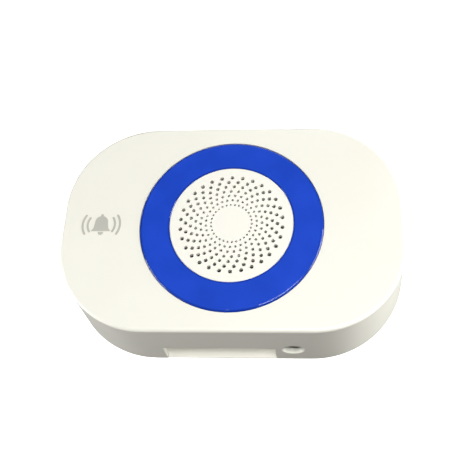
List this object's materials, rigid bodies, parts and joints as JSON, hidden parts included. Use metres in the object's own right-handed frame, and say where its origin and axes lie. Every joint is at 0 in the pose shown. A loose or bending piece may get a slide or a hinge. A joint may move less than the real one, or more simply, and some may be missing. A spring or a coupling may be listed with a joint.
{
  "type": "alarm siren",
  "caption": "Indoor wall siren: a drafted rounded-rectangle shell with a flush blue light ring round a perforated sounder disc, a power inlet, a thumb recess and a slide-on wall plate.",
  "frame": {"origin": "middle of the back, on the plane of the wall or table", "axes": "+X along the long side, +Y up when it hangs on a wall, +Z out of the front through the sounder disc"},
  "size_m": [0.145, 0.0958, 0.0333],
  "materials": {
    "shell": "white moulded plastic, fine satin texture",
    "back_shell": "off-white moulded plastic, satin",
    "bracket": "off-white moulded plastic",
    "lens": "tinted blue lens, polished",
    "disc": "white moulded plastic, satin",
    "mesh": "black acoustic mesh",
    "foam": "closed-cell foam",
    "capsule": "black moulded plastic",
    "brass": "rolled sheet",
    "ceramic": "silvered ceramic",
    "reflector": "white reflector plastic",
    "board": "green solder mask",
    "lamp": "white lamp body",
    "black_plastic": "black moulded plastic",
    "pin_metal": "plated contact",
    "module": "black circuit board",
    "shield": "pressed tin-plated sheet",
    "ferrite": "ferrite",
    "winding": "enamelled copper wire",
    "can": "aluminium can",
    "cell": "foil pouch",
    "connector": "cream nylon",
    "wire": "silicone insulation",
    "ribbon": "flat flexible cable",
    "button": "grey moulded plastic",
    "steel": "zinc-plated steel",
    "print": "grey pad-printed ink"
  },
  "bodies": {
    "siren": {"front_housing": "shell", "front_mark": "print", "rear_cover": "back_shell", "light_ring": "lens", "grille": "disc", "dust_mesh": "mesh", "siren_gasket": "foam", "siren_capsule": "capsule", "piezo_plate": "brass", "piezo_ceramic": "ceramic", "capsule_back": "capsule", "siren_terminals": "pin_metal", "light_chassis": "reflector", "led_board": "board", "leds": "lamp", "led_header": "black_plastic", "main_board": "board", "dc_jack": "black_plastic", "dc_jack_pin": "pin_metal", "wifi_module": "module", "wifi_shield": "shield", "boost_coil_core": "ferrite", "boost_coil_winding": "winding", "capacitors": "can", "board_chips": "black_plastic", "backup_battery": "cell", "battery_connector": "connector", "battery_leads": "wire", "key_board": "board", "ribbon_connectors": "connector", "key_ribbon": "ribbon", "tact_switch": "black_plastic", "power_switch": "black_plastic", "tamper_switch": "black_plastic", "tamper_spring": "steel", "rear_screws": "steel", "board_screws": "steel", "chassis_screws": "steel", "key_board_screws": "steel"},
    "wall_plate": {"wall_plate": "bracket"},
    "pairing_button": {"pairing_button": "button", "tact_plunger": "black_plastic"},
    "power_knob": {"power_switch_knob": "button"},
    "tamper_plunger": {"tamper_plunger": "button"}
  },
  "joints": [
    {"name": "plate_slide", "type": "slide", "parent": "siren", "child": "wall_plate", "axis": [0, -1, 0], "range_m": [0, 0.008]},
    {"name": "pairing_press", "type": "slide", "parent": "siren", "child": "pairing_button", "axis": [0, 0, 1], "range_m": [0, 0.0006], "stiffness_N_per_m": 200},
    {"name": "power_slide", "type": "slide", "parent": "siren", "child": "power_knob", "axis": [0, 1, 0], "range_m": [0, 0.002]},
    {"name": "tamper_press", "type": "slide", "parent": "siren", "child": "tamper_plunger", "axis": [0, 0, -1], "range_m": [0, 0.0014], "stiffness_N_per_m": 100, "springref_m": 0.0018, "deforming": ["tamper_spring"]}
  ]
}
